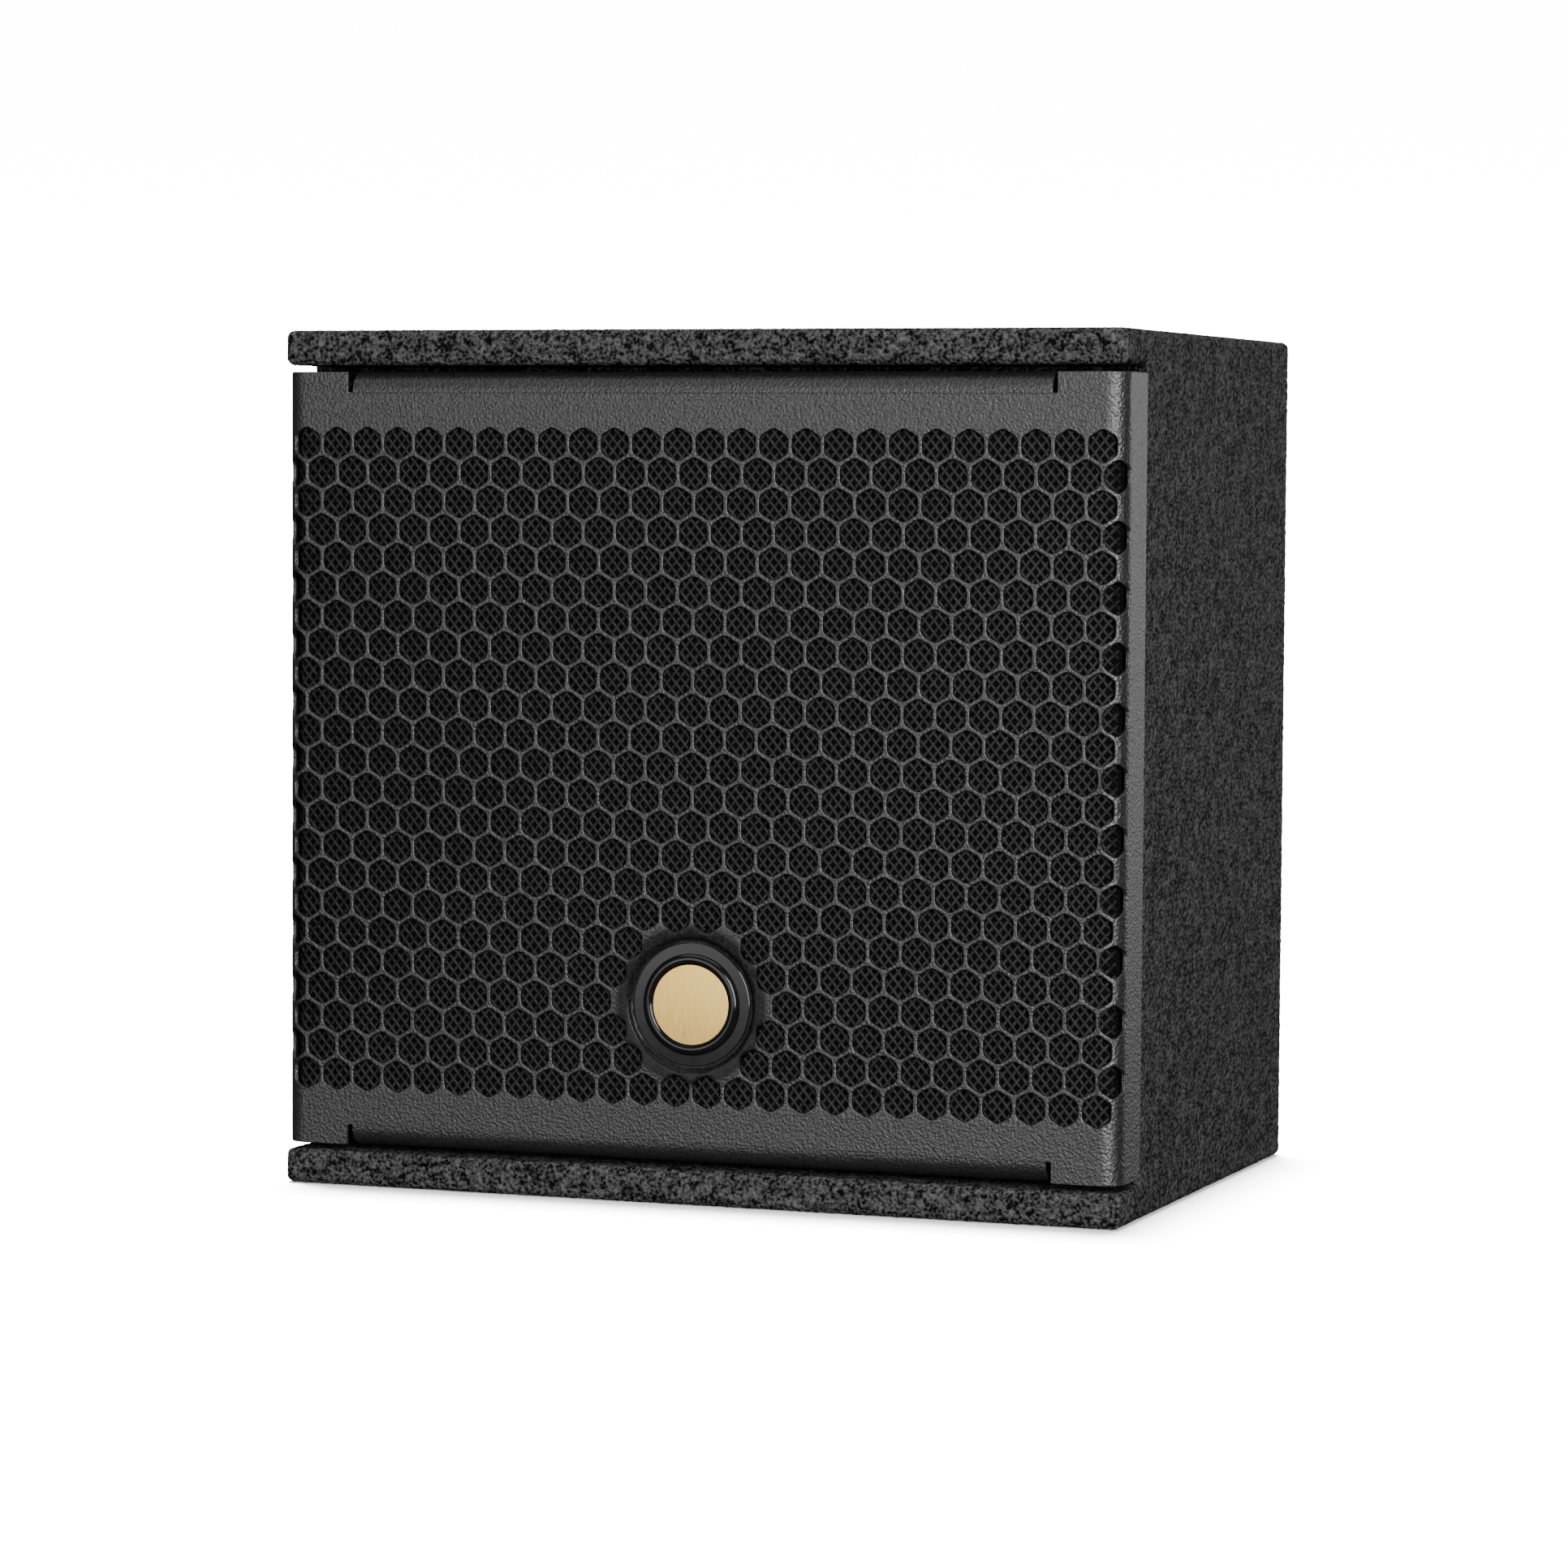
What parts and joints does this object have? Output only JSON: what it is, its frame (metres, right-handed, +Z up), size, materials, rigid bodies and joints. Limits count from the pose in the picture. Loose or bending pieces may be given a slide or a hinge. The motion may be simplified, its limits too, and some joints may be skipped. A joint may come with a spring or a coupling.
{
  "type": "pa speaker cabinet",
  "caption": "Compact black textured plywood loudspeaker cabinet with a folded steel grille, coaxial driver, reflex ports, passive crossover and rear connector plate.",
  "frame": {"origin": "middle of the footprint, on the surface that the cabinet stands on", "axes": "+Z up, +X to the cabinet's right as seen from its front, the grille faces -Y and the connector plate faces +Y"},
  "size_m": [0.368, 0.252, 0.36],
  "materials": {
    "textured_coat": "charcoal black coarse-textured polyurea coat over birch plywood, matt with small highlights",
    "birch_plywood": "raw birch plywood, satin",
    "grille_paint": "fine-textured dark grey powder coat on folded steel sheet",
    "foam": "black open-cell acoustic foam, matt",
    "badge_black": "gloss black",
    "badge_gold": "satin gold metal",
    "cast_metal": "black-painted cast aluminium, satin",
    "plated_steel": "zinc-plated steel",
    "black_steel": "blackened steel, satin",
    "ferrite": "dark grey ferrite, matt",
    "cone_paper": "black coated paper pulp, matt",
    "rubber": "black rubber, matt",
    "spider_cloth": "resin-treated woven cotton, matt",
    "voice_coil": "amber former with varnished winding",
    "black_plastic": "black moulded plastic, fine texture",
    "circuit_board": "green solder mask",
    "copper_wire": "enamelled copper winding",
    "capacitor_film": "yellow polyester film wrap",
    "resistor_ceramic": "white ceramic, matt",
    "damping_wool": "grey needled felt",
    "diaphragm_metal": "thin titanium dome"
  },
  "bodies": {
    "cabinet": {"back_panel": "textured_coat", "baffle": "textured_coat", "board_standoff_1": "black_plastic", "board_standoff_2": "black_plastic", "board_standoff_3": "black_plastic", "board_standoff_4": "black_plastic", "bottom_panel": "textured_coat", "connector_plate": "black_steel", "cross_brace": "birch_plywood", "crossover_board": "circuit_board", "damping_back": "damping_wool", "damping_top": "damping_wool", "driver_basket": "cast_metal", "driver_gasket": "rubber", "driver_screw_1": "black_steel", "driver_screw_2": "black_steel", "driver_screw_3": "black_steel", "driver_screw_4": "black_steel", "front_plate": "plated_steel", "input_lead": "rubber", "input_socket": "black_plastic", "left_panel": "textured_coat", "left_port_tube": "black_plastic", "link_socket": "black_plastic", "magnet_post_1": "black_plastic", "magnet_post_2": "black_plastic", "magnet_post_3": "black_plastic", "magnet_post_4": "black_plastic", "plate_screw_1": "black_steel", "plate_screw_2": "black_steel", "plate_screw_3": "black_steel", "plate_screw_4": "black_steel", "pot_magnet_1": "plated_steel", "pot_magnet_2": "plated_steel", "pot_magnet_3": "plated_steel", "pot_magnet_4": "plated_steel", "right_panel": "textured_coat", "right_port_tube": "black_plastic", "ring_magnet": "ferrite", "spider": "spider_cloth", "surround": "rubber", "top_panel": "textured_coat", "treble_capacitor": "capacitor_film", "treble_cover": "black_plastic", "treble_diaphragm": "diaphragm_metal", "treble_horn": "black_plastic", "treble_inductor": "copper_wire", "treble_lead": "rubber", "treble_motor": "ferrite", "treble_resistor": "resistor_ceramic", "woofer_capacitor": "capacitor_film", "woofer_inductor": "copper_wire", "woofer_lead": "rubber", "yoke": "plated_steel"},
    "cone_assembly": {"cone": "cone_paper", "voice_coil": "voice_coil"},
    "grille_assembly": {"grille": "grille_paint", "grille_foam": "foam", "badge_rim": "badge_black", "badge_disc": "badge_gold"}
  },
  "joints": [
    {"name": "cone_travel", "type": "slide", "parent": "cabinet", "child": "cone_assembly", "axis": [0, -1, 0], "range_m": [-0.005, 0.005], "stiffness_N_per_m": 5500, "deforming": ["surround", "spider"]},
    {"name": "grille_removal", "type": "slide", "parent": "cabinet", "child": "grille_assembly", "axis": [0, -1, 0], "range_m": [0, 0.05]}
  ]
}
